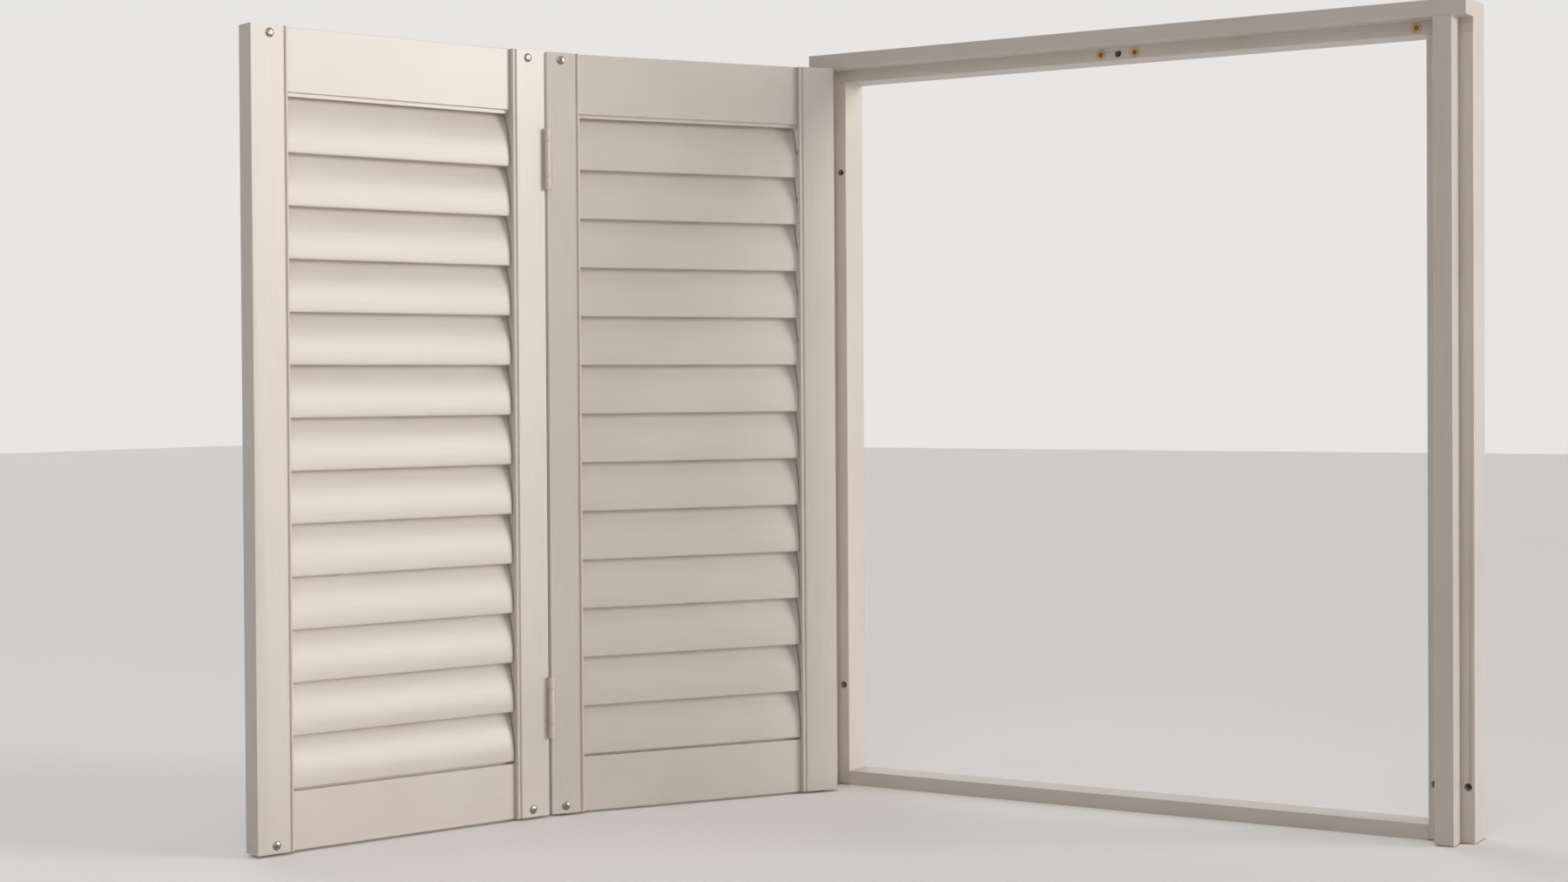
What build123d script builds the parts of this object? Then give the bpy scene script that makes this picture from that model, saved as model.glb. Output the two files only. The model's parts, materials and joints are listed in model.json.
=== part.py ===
from build123d import *
import os
from math import cos, radians, sin

# A pair of louvred shutter panels, folded open on one bay of their own window frame.
# Millimetres, +Z up, +X along the window, +Y from the room towards the window.
# The origin is the middle of the bottom stop's underside, which stands on the window board.

os.makedirs("parts", exist_ok=True)

# Panels
panel_height = 887.0
panel_width = 375.5
panel_thickness = 26.5
bead_width = 3.0
quirk_width = 3.0
quirk_floor = 1.6
quirk_depth = 2.0
inner_hinge_stile_width = 47.0
inner_fold_stile_width = 40.5
outer_fold_stile_width = 43.5
top_rail_height = 70.0
bottom_rail_height = 63.5
rail_thickness = 16.0
tenon_length = 22.0
tenon_thickness = 8.0
tenon_shoulder = 12.0
tenon_clearance = 0.1

# Louvres
louvre_count = 13
louvre_width = 63.5
louvre_thickness = 11.0
louvre_edge_height = 2.4
louvre_end_gap = 1.5
louvre_rail_gap = 2.15
louvre_tilt = 78.0
louvre_closed_tilt = 83.0
peg_radius = 3.0
peg_depth = 10.0
peg_clearance = 0.05
peg_end_gap = 1.0

# Tilt rods and the staples that link them to the louvres
staple_wire = 1.0
staple_width = 8.2
staple_reach = 3.3
staple_embed = 2.0
staple_play = 0.5
rod_width = 10.0
rod_depth = 9.0
rod_edge_round = 2.5
rod_gap = 3.0
rod_top_overrun = 8.0
rod_bottom_overrun = 14.0
notch_side_gap = 2.5
notch_end_gap = 4.0
notch_back_gap = 1.0

# Frame
leg_width = 21.0
leg_depth = 28.0
stop_width = 15.0
stop_depth = 41.5
post_width = 21.0
head_height = 18.0
bottom_stop_height = 17.5
frame_foot_gap = 1.0
frame_edge_round = 1.0
sill_gap = 3.0
head_gap = 3.5
stop_gap = 2.4

# Hinges
hinge_gap = 3.2
free_gap = 3.2
hinge_length = 70.0
hinge_end_distance = 125.0
end_knuckle_length = 14.0
knuckle_gap = 0.3
knuckle_radius = 3.4
pin_radius = 1.75
pin_clearance = 0.05
pin_overrun = 1.3
pin_offset = 4.0
leaf_thickness = 1.5
leaf_width = 21.0
leaf_screw_spread = 44.0
leaf_screw_inset = 12.0
leaf_screw_length = 15.5
screw_head_radius = 2.8
screw_shank_radius = 1.5
screw_clearance = 0.1
screw_sink_angle = 40.0

# Strikes, catches and tension screws
strike_radius = 5.5
strike_height = 1.5
strike_taper = 45.0
strike_shank_radius = 2.0
strike_shank_length = 9.0
outer_strike_inset = 22.4
inner_strike_inset = 16.9
strike_end_distance = 8.8
catch_radius = 6.0
catch_length = 7.0
catch_screw_length = 16.0
catch_sink_depth = 1.5
catch_touch_gap = 0.2
catch_clearance = 0.1
tension_head_radius = 5.5
tension_head_thickness = 1.5
tension_shank_radius = 3.0
tension_slot_width = 1.2
tension_slot_depth = 0.7
tension_end_gap = 0.5

# Fixing holes through the light stops
fixing_radius = 2.25
fixing_sink_radius = 4.2
fixing_sink_depth = 25.0
jamb_fixing_low = 125.0
jamb_fixing_high = 767.0
post_fixing_height = 61.5

# The pose: how far the pair stands open, and how far it is folded from flat
swing_angle = 121.7
fold_angle = 13.5

# Worked out from the sizes above
louvre_opening = panel_width - inner_hinge_stile_width - inner_fold_stile_width
outer_free_stile_width = panel_width - outer_fold_stile_width - louvre_opening
opening_width = 2 * panel_width + 2 * hinge_gap + free_gap
left_leg = -opening_width / 2
right_leg = opening_width / 2
stop_front = -stop_depth / 2
frame_front = stop_front - leg_depth
head_underside = sill_gap + panel_height + head_gap
stop_underside = head_underside - stop_width
leaf_face = hinge_gap / 2 - leaf_thickness
catch_proud = stop_gap - strike_height - catch_touch_gap
mid_thickness = -panel_thickness / 2
louvre_span = panel_height - top_rail_height - bottom_rail_height - louvre_width
louvre_pitch = (louvre_span - 2 * louvre_rail_gap) / (louvre_count - 1)
first_louvre = bottom_rail_height + louvre_rail_gap + louvre_width / 2
middle_louvre = first_louvre + louvre_pitch * (louvre_count - 1) / 2
crossbar_radius = louvre_width / 2 + staple_reach
staple_loop = staple_wire / 2 + staple_play
hinge_heights = (hinge_end_distance, panel_height - hinge_end_distance)

# Round shapes that repeat many times have flats: few on pegs, pins and screws, more on heads
small_flat_count = 6
large_flat_count = 16


def keep(part, name):
    """Label a finished piece and write its STEP file."""
    part.label = name
    export_step(part, f"parts/{name}.step")


def swung(plane, axis, angle):
    """The plane carried round a vertical axis, clockwise as seen from above."""
    turn = Location((axis.X, axis.Y, 0), (0, 0, -angle)) * Location((-axis.X, -axis.Y, 0))
    return Plane(turn * plane.location)


def moved(plane, u=0.0, n=0.0, v=0.0):
    """The same plane with its origin moved along its own axes."""
    return Plane(plane.from_local_coords(Vector(u, n, v)), x_dir=plane.x_dir, z_dir=plane.z_dir)


def across(panel, u, n, v):
    """A plane square to the panel's width: its X is the panel's back direction, its Y is up."""
    return Plane(panel.from_local_coords(Vector(u, n, v)), x_dir=panel.y_dir, z_dir=panel.x_dir)


# Each panel's plane starts at its hinged edge, back face and foot: X runs across the panel,
# Y out of its back face and Z up it. The closed place comes first, then the open one.
closed_inner = Plane((left_leg + hinge_gap, stop_front - stop_gap, sill_gap))
closed_outer = moved(closed_inner, u=panel_width + hinge_gap)
frame_pin = closed_inner.from_local_coords(Vector(-hinge_gap / 2, -panel_thickness - pin_offset, 0))
inner_panel = swung(closed_inner, frame_pin, swing_angle)
fold_pin = inner_panel.from_local_coords(Vector(panel_width + hinge_gap / 2, pin_offset, 0))
outer_panel = swung(moved(inner_panel, u=panel_width + hinge_gap), fold_pin, -fold_angle)

# Each hinge leaf's plane starts at the pin, and its Y runs into the gap between the two edges
jamb_leaf = Plane(frame_pin, x_dir=(1, 0, 0), z_dir=(0, 0, 1))
panel_leaf = Plane(frame_pin, x_dir=inner_panel.x_dir, z_dir=(0, 0, 1))
inner_fold_leaf = Plane(fold_pin, x_dir=-inner_panel.x_dir, z_dir=(0, 0, 1))
outer_fold_leaf = Plane(fold_pin, x_dir=-outer_panel.x_dir, z_dir=(0, 0, 1))


def flatted(face, points, radius, clearance=0.0, flats=small_flat_count):
    """Flat-sided discs on a plane. With a clearance they are bores round discs of that radius."""
    with BuildSketch(face) as shapes:
        with Locations(*points):
            RegularPolygon(radius + clearance, flats, major_radius=not clearance)
    return shapes.sketch


def louvre_heights():
    """The middle height of each louvre in a panel, from the bottom one up."""
    return [first_louvre + louvre_pitch * step for step in range(louvre_count)]


def rails_of_panel():
    """Each rail's middle height and its own height, the bottom one first."""
    return (
        (bottom_rail_height / 2, bottom_rail_height),
        (panel_height - top_rail_height / 2, top_rail_height),
    )


def strike_faces(panel, u):
    """Planes on the panel's back face at its foot and its top, where the strikes are."""
    heights = (strike_end_distance, panel_height - strike_end_distance)
    return [
        Plane(panel.from_local_coords(Vector(u, 0, v)), x_dir=panel.x_dir, z_dir=panel.y_dir)
        for v in heights
    ]


def screw_face(leaf, side, height):
    """The plane on a leaf's free face at its screws, with its normal into the wood."""
    place = leaf.from_local_coords(Vector(side * leaf_face, pin_offset + leaf_screw_inset, height))
    return Plane(place, x_dir=leaf.y_dir, z_dir=leaf.x_dir * side)


# A leaf's screws, seen on its face
leaf_screw_points = [(0, -leaf_screw_spread / 2), (0, leaf_screw_spread / 2)]


def make_stile(name, panel, start, side, width, leaf=None, leaf_side=1, strike=0.0, tension=False):
    """A stile from its outer edge, at start across the panel, to the bead on its inner edge."""
    inner_edge = start + side * width
    bead_start = inner_edge - side * bead_width
    bead_middle = inner_edge - side * bead_width / 2
    bead_radius = bead_width / 2
    back = [
        (start, 0),
        (bead_start - side * quirk_width, 0),
        (bead_start - side * quirk_floor, -quirk_depth),
        (bead_start, -quirk_depth),
        (bead_start, -bead_radius),
    ]
    room = [(u, -panel_thickness - n) for u, n in reversed(back)]
    with BuildPart() as stile:
        with BuildSketch(panel):
            with BuildLine():
                Polyline(*back)
                ThreePointArc(back[-1], (bead_middle, 0), (inner_edge, -bead_radius))
                Line((inner_edge, -bead_radius), (inner_edge, bead_radius - panel_thickness))
                ThreePointArc(
                    (inner_edge, bead_radius - panel_thickness), (bead_middle, -panel_thickness), room[0]
                )
                Polyline(*room)
                Line(room[-1], back[0])
            make_face()
        extrude(amount=panel_height)
        # Blind bores for the louvres' pegs
        bores = flatted(
            across(panel, inner_edge, mid_thickness, 0),
            [(0, height) for height in louvre_heights()],
            peg_radius,
            peg_clearance,
        )
        extrude(bores, amount=-side * (peg_depth + peg_end_gap), mode=Mode.SUBTRACT)
        # Mortises for the rails' tenons
        for middle, rail_height in rails_of_panel():
            mortise_height = rail_height - 2 * tenon_shoulder + 2 * tenon_clearance
            with BuildSketch(across(panel, inner_edge, mid_thickness, middle)):
                Rectangle(tenon_thickness + 2 * tenon_clearance, mortise_height)
            extrude(amount=-side * (tenon_length + tenon_clearance), mode=Mode.SUBTRACT)
        if leaf:
            for height in hinge_heights:
                face = screw_face(leaf, leaf_side, height)
                pilots = flatted(face, leaf_screw_points, screw_shank_radius, screw_clearance)
                extrude(pilots, amount=leaf_screw_length + screw_clearance, mode=Mode.SUBTRACT)
        if strike:
            for face in strike_faces(panel, start + side * strike):
                pilot = flatted(face, [(0, 0)], strike_shank_radius, screw_clearance)
                extrude(pilot, amount=-strike_shank_length - screw_clearance, mode=Mode.SUBTRACT)
        if tension:
            outer_edge = across(panel, start, mid_thickness, middle_louvre)
            head_seat = flatted(
                outer_edge, [(0, 0)], tension_head_radius, peg_clearance, flats=large_flat_count
            )
            extrude(head_seat, amount=side * tension_head_thickness, mode=Mode.SUBTRACT)
            shank_bore = flatted(outer_edge, [(0, 0)], tension_shank_radius, peg_clearance)
            extrude(shank_bore, amount=side * (width - peg_depth), mode=Mode.SUBTRACT)
    keep(stile.part, name)


def make_rail(name, panel, left_edge, middle, rail_height, notched):
    """A rail with a tenon at each end. The top one has a notch for the rod to rise into."""
    room_face = mid_thickness - rail_thickness / 2
    foot = middle - rail_height / 2
    closed = radians(louvre_closed_tilt)
    loop_end = staple_loop + staple_wire
    notch_floor = mid_thickness - crossbar_radius * cos(closed) + loop_end + notch_back_gap
    notch_top = louvre_heights()[-1] + crossbar_radius * sin(closed) + rod_top_overrun + notch_end_gap
    with BuildPart() as rail:
        with BuildSketch(across(panel, left_edge, mid_thickness, middle)):
            Rectangle(rail_thickness, rail_height)
        extrude(amount=louvre_opening)
        with BuildSketch(across(panel, left_edge - tenon_length, mid_thickness, middle)):
            Rectangle(tenon_thickness, rail_height - 2 * tenon_shoulder)
        extrude(amount=louvre_opening + 2 * tenon_length)
        if notched:
            notch_middle = left_edge + louvre_opening / 2
            with BuildSketch(moved(panel, notch_middle, (notch_floor + room_face) / 2, foot)):
                Rectangle(rod_width + 2 * notch_side_gap, notch_floor - room_face)
            extrude(amount=notch_top - foot, mode=Mode.SUBTRACT)
    keep(rail.part, name)


def louvre_plane(panel, u, height):
    """A plane square to a louvre's length: its X runs from the pegs to the louvre's room edge."""
    tilt = radians(louvre_tilt)
    chord = panel.z_dir * sin(tilt) - panel.y_dir * cos(tilt)
    return Plane(panel.from_local_coords(Vector(u, mid_thickness, height)), x_dir=chord, z_dir=panel.x_dir)


def make_louvre(name, panel, left_edge, height):
    """An oval blade with a peg at each end, and a wire staple driven into its room edge."""
    tip = louvre_width / 2
    edge = louvre_edge_height / 2
    blade_end = louvre_plane(panel, left_edge + louvre_end_gap, height)
    middle = louvre_plane(panel, left_edge + louvre_opening / 2, height)
    staple_plane = Plane(middle.origin, x_dir=middle.x_dir, z_dir=-middle.y_dir)
    staple_start = tip - staple_embed
    staple_length = crossbar_radius + staple_wire / 2 - staple_start
    with BuildPart() as louvre:
        with BuildSketch(blade_end):
            with BuildLine():
                ThreePointArc((-tip, edge), (0, louvre_thickness / 2), (tip, edge))
                Line((tip, edge), (tip, -edge))
                ThreePointArc((tip, -edge), (0, -louvre_thickness / 2), (-tip, -edge))
                Line((-tip, -edge), (-tip, edge))
            make_face()
        extrude(amount=louvre_opening - 2 * louvre_end_gap)
        peg_line = flatted(blade_end.offset(-louvre_end_gap - peg_depth), [(0, 0)], peg_radius)
        extrude(peg_line, amount=louvre_opening + 2 * peg_depth)
        with BuildSketch(staple_plane):
            with Locations((staple_start + staple_length / 2, 0)):
                Rectangle(staple_length, staple_width)
            with Locations((staple_start + staple_length / 2 - staple_wire, 0)):
                Rectangle(staple_length, staple_width - 2 * staple_wire, mode=Mode.SUBTRACT)
        extrude(amount=staple_wire / 2, both=True)
    keep(louvre.part, name)


def make_rod(panel_name, panel, left_edge):
    """A panel's tilt rod, and the staples in it that hold the louvres' staples."""
    middle = left_edge + louvre_opening / 2
    crossbar_n = mid_thickness - crossbar_radius * cos(radians(louvre_tilt))
    crossbars = [height + crossbar_radius * sin(radians(louvre_tilt)) for height in louvre_heights()]
    foot = crossbars[0] - rod_bottom_overrun
    half_width = rod_width / 2
    with BuildPart() as rod:
        with BuildSketch(moved(panel, middle, crossbar_n - rod_gap, foot)):
            with BuildLine():
                Polyline(
                    (-half_width, rod_edge_round - rod_depth), (-half_width, 0),
                    (half_width, 0), (half_width, rod_edge_round - rod_depth),
                )
                RadiusArc(
                    (half_width, rod_edge_round - rod_depth),
                    (half_width - rod_edge_round, -rod_depth),
                    rod_edge_round,
                )
                Line((half_width - rod_edge_round, -rod_depth), (rod_edge_round - half_width, -rod_depth))
                RadiusArc(
                    (rod_edge_round - half_width, -rod_depth),
                    (-half_width, rod_edge_round - rod_depth),
                    rod_edge_round,
                )
            make_face()
        extrude(amount=crossbars[-1] + rod_top_overrun - foot)
    keep(rod.part, f"{panel_name}_tilt_rod")
    loop_length = rod_gap + staple_loop + staple_wire
    with BuildPart() as staples:
        with BuildSketch(across(panel, middle, crossbar_n - rod_gap, 0)):
            with Locations(*[(loop_length / 2, crossbar) for crossbar in crossbars]):
                Rectangle(loop_length, 2 * (staple_loop + staple_wire))
            with Locations(*[(loop_length / 2 - staple_wire, crossbar) for crossbar in crossbars]):
                Rectangle(loop_length, 2 * staple_loop, mode=Mode.SUBTRACT)
        extrude(amount=staple_wire / 2, both=True)
    keep(staples.part, f"{panel_name}_rod_staples")


def knuckle_spans(height, long_middle):
    """The foot and length of each of a leaf's knuckles: one long middle one, or two end ones."""
    foot = height - hinge_length / 2
    if long_middle:
        return [
            (foot + end_knuckle_length + knuckle_gap, hinge_length - 2 * (end_knuckle_length + knuckle_gap))
        ]
    return [(foot, end_knuckle_length), (foot + hinge_length - end_knuckle_length, end_knuckle_length)]


def make_leaves(name, leaf, side, long_middle):
    """The upper and lower leaves on one edge, each a plate with its knuckles round the pin."""
    plate_middle = side * (leaf_face + leaf_thickness / 2)
    with BuildPart() as leaves:
        for height in hinge_heights:
            with BuildSketch(moved(leaf, v=height - hinge_length / 2)):
                with Locations((plate_middle, pin_offset + leaf_width / 2)):
                    Rectangle(leaf_thickness, leaf_width)
            extrude(amount=hinge_length)
            for foot, length in knuckle_spans(height, long_middle):
                with BuildSketch(moved(leaf, v=foot)):
                    RegularPolygon(knuckle_radius, large_flat_count)
                    with Locations((plate_middle, pin_offset / 2)):
                        Rectangle(leaf_thickness, pin_offset)
                    RegularPolygon(
                        pin_radius + pin_clearance, small_flat_count, major_radius=False, mode=Mode.SUBTRACT
                    )
                extrude(amount=length)
            sinks = flatted(
                screw_face(leaf, side, height), leaf_screw_points, screw_head_radius, screw_clearance
            )
            extrude(sinks, amount=leaf_thickness, taper=screw_sink_angle, mode=Mode.SUBTRACT)
    keep(leaves.part, name)


def make_leaf_screws(name, leaves):
    """All the countersunk screws of the leaves on one body."""
    with BuildPart() as screws:
        for leaf, side in leaves:
            for height in hinge_heights:
                face = screw_face(leaf, side, height)
                extrude(
                    flatted(face, leaf_screw_points, screw_head_radius),
                    amount=leaf_thickness,
                    taper=screw_sink_angle,
                )
                extrude(
                    flatted(face.offset(leaf_thickness), leaf_screw_points, screw_shank_radius),
                    amount=leaf_screw_length - leaf_thickness,
                )
    keep(screws.part, name)


def make_pins(name, leaf):
    """The upper and lower pins of one hinge line."""
    with BuildPart() as pins:
        for height in hinge_heights:
            foot = moved(leaf, v=height - hinge_length / 2 - pin_overrun)
            extrude(flatted(foot, [(0, 0)], pin_radius), amount=hinge_length + 2 * pin_overrun)
    keep(pins.part, name)


def make_strikes(name, panel, places):
    """Steel strikes on the back face, which the catches pull on: low heads on short shanks."""
    with BuildPart() as strikes:
        for u in places:
            for face in strike_faces(panel, u):
                head = flatted(face, [(0, 0)], strike_radius, flats=large_flat_count)
                extrude(head, amount=strike_height, taper=strike_taper)
                extrude(flatted(face, [(0, 0)], strike_shank_radius), amount=-strike_shank_length)
    keep(strikes.part, name)


def make_tension_screw(name, panel, start, side, width):
    """The screw in a stile's outer edge that bears on the middle louvre's peg to stiffen the tilt."""
    outer_edge = across(panel, start, mid_thickness, middle_louvre)
    with BuildPart() as screw:
        head = flatted(outer_edge, [(0, 0)], tension_head_radius, flats=large_flat_count)
        extrude(head, amount=side * tension_head_thickness)
        shank = flatted(outer_edge, [(0, 0)], tension_shank_radius)
        extrude(shank, amount=side * (width - peg_depth - tension_end_gap))
        with BuildSketch(outer_edge):
            Rectangle(tension_slot_width, 2 * tension_head_radius)
        extrude(amount=side * tension_slot_depth, mode=Mode.SUBTRACT)
    keep(screw.part, name)


def make_panel(panel_name, panel, left_stile_width):
    """What both panels have between their stiles: two rails, the louvres and the tilt rod."""
    bottom, top = rails_of_panel()
    make_rail(f"{panel_name}_bottom_rail", panel, left_stile_width, *bottom, notched=False)
    make_rail(f"{panel_name}_top_rail", panel, left_stile_width, *top, notched=True)
    for number, height in enumerate(louvre_heights(), start=1):
        make_louvre(f"{panel_name}_louvre_{number:02}", panel, left_stile_width, height)
    make_rod(panel_name, panel, left_stile_width)


# The inner panel, hinged to the frame
make_stile("inner_hinge_stile", inner_panel, 0, 1, inner_hinge_stile_width, leaf=panel_leaf)
make_stile(
    "inner_fold_stile", inner_panel, panel_width, -1, inner_fold_stile_width,
    leaf=inner_fold_leaf, strike=inner_strike_inset, tension=True,
)
make_panel("inner", inner_panel, inner_hinge_stile_width)
make_strikes("inner_strike_screws", inner_panel, [panel_width - inner_strike_inset])
make_tension_screw("inner_tension_screw", inner_panel, panel_width, -1, inner_fold_stile_width)

# The outer panel, hinged to the inner one
make_stile(
    "outer_fold_stile", outer_panel, 0, 1, outer_fold_stile_width,
    leaf=outer_fold_leaf, leaf_side=-1, strike=outer_strike_inset,
)
make_stile(
    "outer_free_stile", outer_panel, panel_width, -1, outer_free_stile_width,
    strike=outer_strike_inset, tension=True,
)
make_panel("outer", outer_panel, outer_fold_stile_width)
make_strikes(
    "outer_strike_screws", outer_panel, [outer_strike_inset, panel_width - outer_strike_inset]
)
make_tension_screw("outer_tension_screw", outer_panel, panel_width, -1, outer_free_stile_width)

# The four hinges: two between the jamb and the inner panel, two at the fold
make_leaves("frame_hinge_jamb_leaves", jamb_leaf, -1, long_middle=False)
make_leaves("frame_hinge_panel_leaves", panel_leaf, 1, long_middle=True)
make_leaves("fold_hinge_inner_leaves", inner_fold_leaf, 1, long_middle=True)
make_leaves("fold_hinge_outer_leaves", outer_fold_leaf, -1, long_middle=False)
make_pins("frame_hinge_pins", jamb_leaf)
make_pins("fold_hinge_pins", inner_fold_leaf)
make_leaf_screws("jamb_leaf_screws", [(jamb_leaf, -1)])
make_leaf_screws("inner_leaf_screws", [(panel_leaf, 1), (inner_fold_leaf, 1)])
make_leaf_screws("outer_leaf_screws", [(outer_fold_leaf, -1)])

# The frame stands round the opening: a leg at the room side, and a light stop behind the panels.
# Its stop face looks into the room: X to the right and Y up, as seen from the room.
stop_face = Plane.XZ.offset(-stop_front)
stop_middle_height = (head_underside + stop_underside) / 2
strike_places = [
    closed_inner.from_local_coords(Vector(panel_width - inner_strike_inset, 0, 0)).X,
    closed_outer.from_local_coords(Vector(outer_strike_inset, 0, 0)).X,
    closed_outer.from_local_coords(Vector(panel_width - outer_strike_inset, 0, 0)).X,
]
catch_points = [(x, stop_middle_height) for x in strike_places]
jamb_fixings = [(left_leg + stop_width / 2, height) for height in (jamb_fixing_low, jamb_fixing_high)]
post_fixings = [
    (right_leg - stop_width / 2, post_fixing_height),
    (right_leg + post_width + stop_width / 2, post_fixing_height),
]
head_fixings = [((strike_places[0] + strike_places[1]) / 2, stop_middle_height)]


def drill_fixings(points):
    """Stepped holes through the light stop for the screws that fix the frame to the wall."""
    with BuildSketch(stop_face) as sinks:
        with Locations(*points):
            Circle(fixing_sink_radius)
    with BuildSketch(stop_face) as holes:
        with Locations(*points):
            Circle(fixing_radius)
    extrude(sinks.sketch, amount=-fixing_sink_depth, mode=Mode.SUBTRACT)
    extrude(holes.sketch, amount=-stop_depth, mode=Mode.SUBTRACT)


with BuildPart() as left_jamb:
    with BuildSketch(Plane.XY.offset(frame_foot_gap)):
        with BuildLine():
            Polyline(
                (left_leg - leg_width, frame_front),
                (left_leg, frame_front),
                (left_leg, stop_front),
                (left_leg + stop_width, stop_front),
                (left_leg + stop_width, -stop_front),
                (left_leg - leg_width, -stop_front),
                close=True,
            )
        face = make_face()
        room_corner = face.vertices().group_by(Axis.Y)[0].sort_by(Axis.X)[-1]
        stop_corner = face.vertices().group_by(Axis.X)[-1].sort_by(Axis.Y)[0]
        fillet([room_corner, stop_corner], radius=frame_edge_round)
    extrude(amount=head_underside - frame_foot_gap)
    # The head's light stop crosses over the jamb's
    with BuildSketch(Plane.XY.offset(stop_underside)):
        with Locations((left_leg + (stop_width - leg_width) / 2, 0)):
            Rectangle(leg_width + stop_width, stop_depth)
    extrude(amount=stop_width, mode=Mode.SUBTRACT)
    drill_fixings(jamb_fixings)
    for height in hinge_heights:
        face = screw_face(jamb_leaf, -1, height)
        pilots = flatted(face, leaf_screw_points, screw_shank_radius, screw_clearance)
        extrude(pilots, amount=leaf_screw_length + screw_clearance, mode=Mode.SUBTRACT)
keep(left_jamb.part, "left_jamb")

with BuildPart() as t_post:
    with BuildSketch(Plane.XY.offset(frame_foot_gap)):
        with BuildLine():
            Polyline(
                (right_leg, frame_front),
                (right_leg + post_width, frame_front),
                (right_leg + post_width, stop_front),
                (right_leg + post_width + stop_width, stop_front),
                (right_leg + post_width + stop_width, -stop_front),
                (right_leg - stop_width, -stop_front),
                (right_leg - stop_width, stop_front),
                (right_leg, stop_front),
                close=True,
            )
        face = make_face()
        front_corners = face.vertices().group_by(Axis.Y)[0]
        stop_corners = face.vertices().group_by(Axis.Y)[1].sort_by(Axis.X)
        fillet(front_corners + [stop_corners[0], stop_corners[-1]], radius=frame_edge_round)
    extrude(amount=head_underside - frame_foot_gap)
    with BuildSketch(Plane.XY.offset(stop_underside)):
        with Locations((right_leg + post_width / 2, 0)):
            Rectangle(post_width + 2 * stop_width, stop_depth)
    extrude(amount=stop_width, mode=Mode.SUBTRACT)
    drill_fixings(post_fixings)
keep(t_post.part, "t_post")

head_left = left_leg - leg_width
head_right = right_leg + post_width + stop_width
with BuildPart() as head:
    with BuildSketch(Plane.YZ.offset(head_left)):
        with BuildLine():
            Polyline(
                (frame_front, head_underside),
                (stop_front, head_underside),
                (stop_front, stop_underside),
                (-stop_front, stop_underside),
                (-stop_front, head_underside + head_height),
                (frame_front, head_underside + head_height),
                close=True,
            )
        make_face()
    extrude(amount=head_right - head_left)
    front_edges = head.edges().filter_by(Axis.X).group_by(Axis.Y)[0]
    stop_edge = head.edges().filter_by(Axis.X).group_by(Axis.Z)[0].sort_by(Axis.Y)[0]
    fillet(front_edges + [stop_edge], radius=frame_edge_round)
    drill_fixings(head_fixings)
    catch_seats = flatted(stop_face, catch_points, catch_radius, catch_clearance, flats=large_flat_count)
    extrude(catch_seats, amount=catch_proud - catch_length, mode=Mode.SUBTRACT)
    screw_holes = flatted(stop_face, catch_points, screw_shank_radius, screw_clearance)
    extrude(screw_holes, amount=-catch_screw_length, mode=Mode.SUBTRACT)
keep(head.part, "head")

with BuildPart() as bottom_stop:
    with BuildSketch(Plane.XY):
        Rectangle(opening_width - 2 * stop_width, stop_depth)
    extrude(amount=bottom_stop_height)
    top_edges = bottom_stop.edges().filter_by(Axis.X).group_by(Axis.Z)[-1]
    fillet(top_edges.sort_by(Axis.Y)[0], radius=frame_edge_round)
keep(bottom_stop.part, "bottom_stop")

# Magnet catches let into the head's light stop, and the screws that hold them
catch_face = stop_face.offset(catch_proud)
with BuildPart() as catches:
    extrude(flatted(catch_face, catch_points, catch_radius, flats=large_flat_count), amount=-catch_length)
    extrude(
        flatted(catch_face, catch_points, screw_head_radius, screw_clearance),
        amount=-catch_sink_depth,
        mode=Mode.SUBTRACT,
    )
    extrude(
        flatted(catch_face, catch_points, screw_shank_radius, screw_clearance),
        amount=-catch_length,
        mode=Mode.SUBTRACT,
    )
keep(catches.part, "magnet_catches")

with BuildPart() as catch_screws:
    extrude(flatted(catch_face, catch_points, screw_head_radius), amount=-catch_sink_depth)
    extrude(flatted(catch_face, catch_points, screw_shank_radius), amount=-catch_screw_length)
keep(catch_screws.part, "magnet_screws")
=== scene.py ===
# %% [markdown]
# A pair of louvred shutters, folded open on the frame of their window bay.
#
# The measured model gives every piece its size and its place. This lesson dresses it: it softens
# the sharp edges of the timber, sweeps the oval louvres, bends the wire staples, turns the hinge
# barrels and screws, and paints everything a warm off-white.

# %% Load the measured model
import json
import math

import bmesh
import bpy
from mathutils import Matrix, Vector

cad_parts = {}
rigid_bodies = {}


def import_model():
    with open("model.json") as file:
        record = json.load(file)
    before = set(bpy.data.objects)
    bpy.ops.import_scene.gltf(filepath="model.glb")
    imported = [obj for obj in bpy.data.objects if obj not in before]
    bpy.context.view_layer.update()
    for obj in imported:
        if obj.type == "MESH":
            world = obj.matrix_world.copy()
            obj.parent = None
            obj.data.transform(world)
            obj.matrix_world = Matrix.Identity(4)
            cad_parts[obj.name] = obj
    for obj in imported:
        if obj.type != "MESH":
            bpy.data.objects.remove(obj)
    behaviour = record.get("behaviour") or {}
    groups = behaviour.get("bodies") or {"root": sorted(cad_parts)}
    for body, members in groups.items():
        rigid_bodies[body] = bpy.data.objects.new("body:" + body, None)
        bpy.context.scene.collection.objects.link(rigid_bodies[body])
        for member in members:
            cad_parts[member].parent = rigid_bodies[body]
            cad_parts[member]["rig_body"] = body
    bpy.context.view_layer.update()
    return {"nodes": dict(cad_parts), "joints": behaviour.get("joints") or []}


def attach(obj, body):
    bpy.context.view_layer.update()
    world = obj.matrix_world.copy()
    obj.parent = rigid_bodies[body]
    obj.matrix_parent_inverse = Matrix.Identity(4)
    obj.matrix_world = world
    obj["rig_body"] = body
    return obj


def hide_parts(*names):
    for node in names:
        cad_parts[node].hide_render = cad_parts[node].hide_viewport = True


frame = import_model()
joints = {joint["name"]: joint for joint in frame["joints"]}
up = Vector((0, 0, 1))
mm = 0.001

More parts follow.
